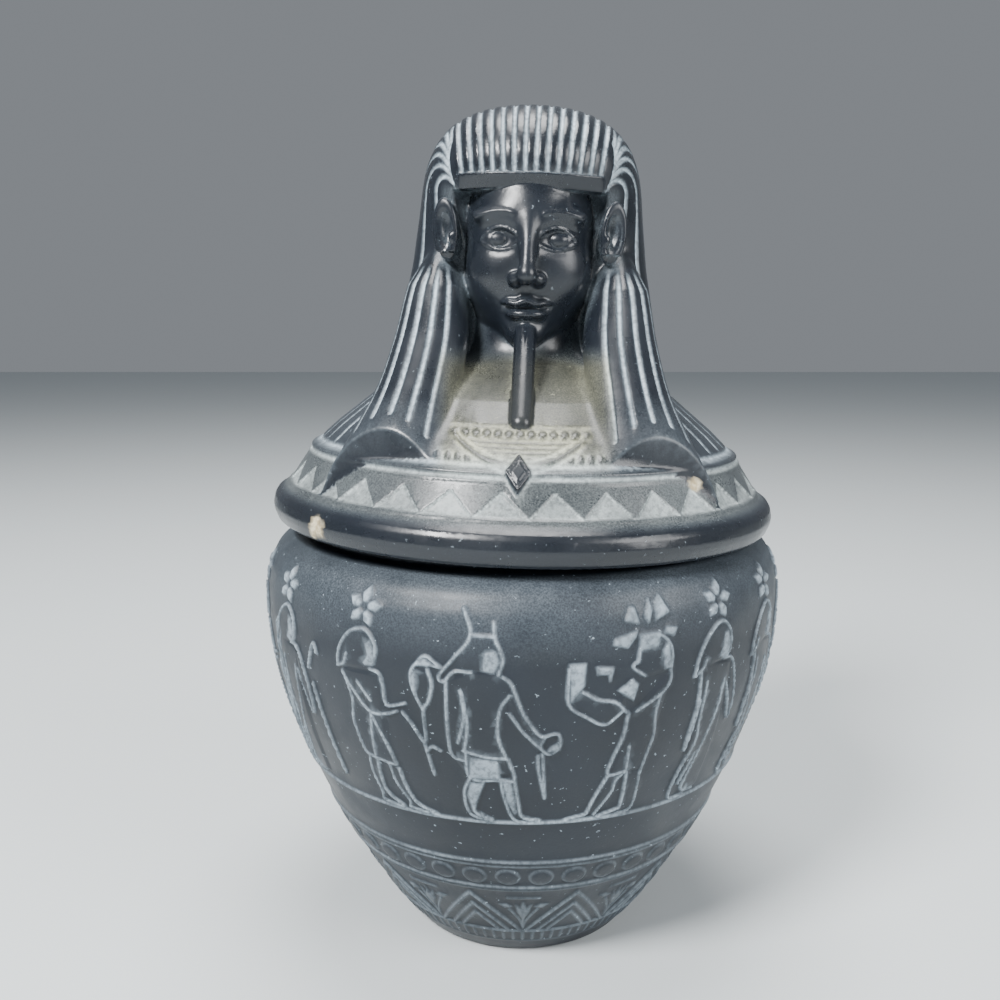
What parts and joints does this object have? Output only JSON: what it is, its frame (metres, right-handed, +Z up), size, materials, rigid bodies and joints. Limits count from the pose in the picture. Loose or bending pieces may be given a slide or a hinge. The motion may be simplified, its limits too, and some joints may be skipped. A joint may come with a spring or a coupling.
{
  "type": "canopic jar",
  "caption": "Souvenir canopic jar with figures in low relief round its wall, hollow, with a lift-off lid shaped as a bust in a striped wig.",
  "frame": {"origin": "centre of the jar's underside, which is also the bottom centre of the whole part's box", "axes": "+Z up the jar's axis to the top of the wig; the face looks along -Y; +X is to the viewer's right"},
  "size_m": [0.1269, 0.1284, 0.1998],
  "materials": {
    "jar": "cast stone, blackened and waxed to a satin, with pale dust in the relief",
    "lid": "cast stone, blackened and waxed to a low gloss, with pale dust in the grooves and cream chips"
  },
  "bodies": {
    "root": {"jar": "jar", "lid": "lid"}
  },
  "joints": []
}
